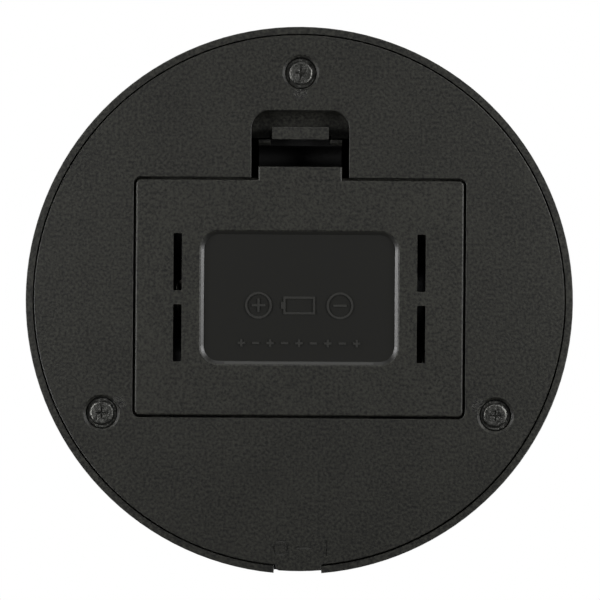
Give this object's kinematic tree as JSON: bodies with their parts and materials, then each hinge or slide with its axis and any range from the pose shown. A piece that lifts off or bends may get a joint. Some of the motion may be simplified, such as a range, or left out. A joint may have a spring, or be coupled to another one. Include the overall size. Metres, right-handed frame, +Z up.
{
  "type": "compact digital scale",
  "caption": "Compact round black digital scale: flat screwed base with latched battery door, skirted housing, steel platform, display strip with window and keys.",
  "frame": {"origin": "middle of the round base, on the surface it stands on", "axes": "+Z up, -Y towards the display strip and the power switch, +X to the right seen from the front"},
  "size_m": [0.11, 0.11, 0.0322],
  "materials": {
    "black_plastic": "spark-eroded black ABS",
    "platform_plastic": "fine textured black ABS",
    "button_plastic": "satin black ABS",
    "knob_plastic": "ribbed black acetal",
    "plunger_plastic": "moulded acetal",
    "frame_plastic": "white moulded frame",
    "switch_plastic": "moulded",
    "switch_metal": "folded tinned can",
    "black_screws": "black zinc",
    "bright_screws": "zinc",
    "contact_metal": "nickel-plated spring steel",
    "load_cell_alloy": "milled",
    "gauge_foil": "polyimide foil",
    "platform_steel": "straight brushed",
    "tape": "double-sided tape",
    "window_acrylic": "smoked acrylic, hard coated",
    "lcd_glass": "reflective liquid crystal cell",
    "contact_rubber": "striped silicone",
    "board_laminate": "green solder mask",
    "resin": "cast black epoxy",
    "component_ceramic": "fired ceramic",
    "lead_plastic": "PVC insulation",
    "cell_sleeve": "shrink sleeve over a steel can"
  },
  "bodies": {
    "base": {"base_plate": "black_plastic", "housing": "black_plastic", "housing_screws": "black_screws", "contact_strips": "contact_metal", "contact_springs": "contact_metal", "load_cell": "load_cell_alloy", "strain_gauges": "gauge_foil", "load_cell_base_screws": "bright_screws", "display_window": "window_acrylic", "lcd_glass": "lcd_glass", "lcd_frame": "frame_plastic", "lcd_rubber_contacts": "contact_rubber", "main_board": "board_laminate", "board_screws": "bright_screws", "chip_cover": "resin", "board_components": "component_ceramic", "tact_switches": "switch_plastic", "power_switch": "switch_metal", "battery_leads": "lead_plastic", "load_cell_leads": "lead_plastic", "switch_leads": "lead_plastic", "battery_cell_1": "cell_sleeve", "battery_cell_2": "cell_sleeve", "battery_cell_3": "cell_sleeve"},
    "platform": {"platform_carrier": "platform_plastic", "platform_skin": "platform_steel", "platform_tape": "tape", "load_cell_platform_screws": "bright_screws"},
    "door": {"battery_door": "black_plastic"},
    "latch": {"door_latch": "black_plastic"},
    "power_slider": {"power_knob": "knob_plastic"},
    "tare_key": {"tare_button": "button_plastic", "tare_plunger": "plunger_plastic"},
    "unit_key": {"unit_button": "button_plastic", "unit_plunger": "plunger_plastic"}
  },
  "joints": [
    {"name": "platform_sink", "type": "slide", "parent": "base", "child": "platform", "axis": [0, 0, 1], "range_m": [-0.0004, 0], "stiffness_N_per_m": 60000, "deforming": ["load_cell"]},
    {"name": "door_swing", "type": "hinge", "parent": "base", "child": "door", "pos_m": [0, -0.02322, 0.0001], "axis": [-1, 0, 0], "range_deg": [0, 80]},
    {"name": "latch_flex", "type": "hinge", "parent": "door", "child": "latch", "pos_m": [0, 0.03185, 0.0062], "axis": [-1, 0, 0], "range_deg": [0, 8], "stiffness_Nm_per_rad": 0.45},
    {"name": "power_slide", "type": "slide", "parent": "base", "child": "power_slider", "axis": [1, 0, 0], "range_m": [0, 0.0028]},
    {"name": "tare_press", "type": "slide", "parent": "base", "child": "tare_key", "axis": [0, 0, -1], "range_m": [0, 0.0003], "stiffness_N_per_m": 5000},
    {"name": "unit_press", "type": "slide", "parent": "base", "child": "unit_key", "axis": [0, 0, -1], "range_m": [0, 0.0003], "stiffness_N_per_m": 5000}
  ]
}
